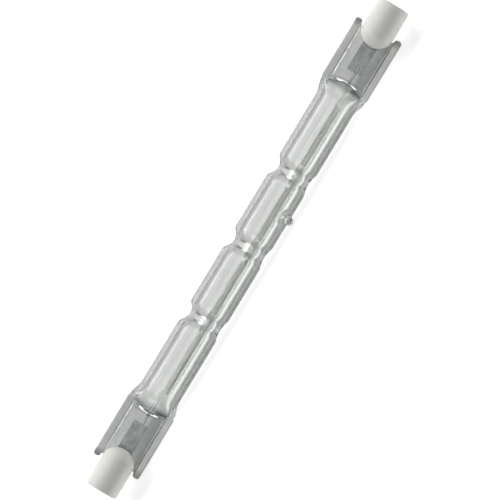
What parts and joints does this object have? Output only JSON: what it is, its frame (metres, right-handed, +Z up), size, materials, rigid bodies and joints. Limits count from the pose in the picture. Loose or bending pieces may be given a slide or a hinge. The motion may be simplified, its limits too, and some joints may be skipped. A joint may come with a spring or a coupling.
{
  "type": "linear halogen bulb",
  "caption": "Double-ended linear halogen lamp: clear quartz tube with squeezed constrictions, pinch seals and recessed ceramic end caps.",
  "frame": {"origin": "light centre of the lamp, on the axis of the quartz tube", "axes": "+X along the lamp towards end B; +Z up, with the lamp lying on its tube and on one rim of each pinch seal"},
  "size_m": [0.1176, 0.012, 0.009],
  "materials": {
    "fused_quartz": "clear fused quartz, fire polished",
    "tungsten": "drawn tungsten wire, dark grey",
    "molybdenum": "rolled molybdenum, matt grey",
    "steatite": "pressed steatite ceramic, unglazed",
    "cement": "set lamp cement, matt",
    "nickel": "nickel-plated contact, satin"
  },
  "bodies": {
    "root": {"quartz_envelope": "fused_quartz", "filament": "tungsten", "inner_lead_a": "tungsten", "inner_lead_b": "tungsten", "foil_a": "molybdenum", "foil_b": "molybdenum", "outer_lead_a": "molybdenum", "outer_lead_b": "molybdenum", "ceramic_cap_a": "steatite", "ceramic_cap_b": "steatite", "cement_a": "cement", "cement_b": "cement", "contact_a": "nickel", "contact_b": "nickel"}
  },
  "joints": []
}
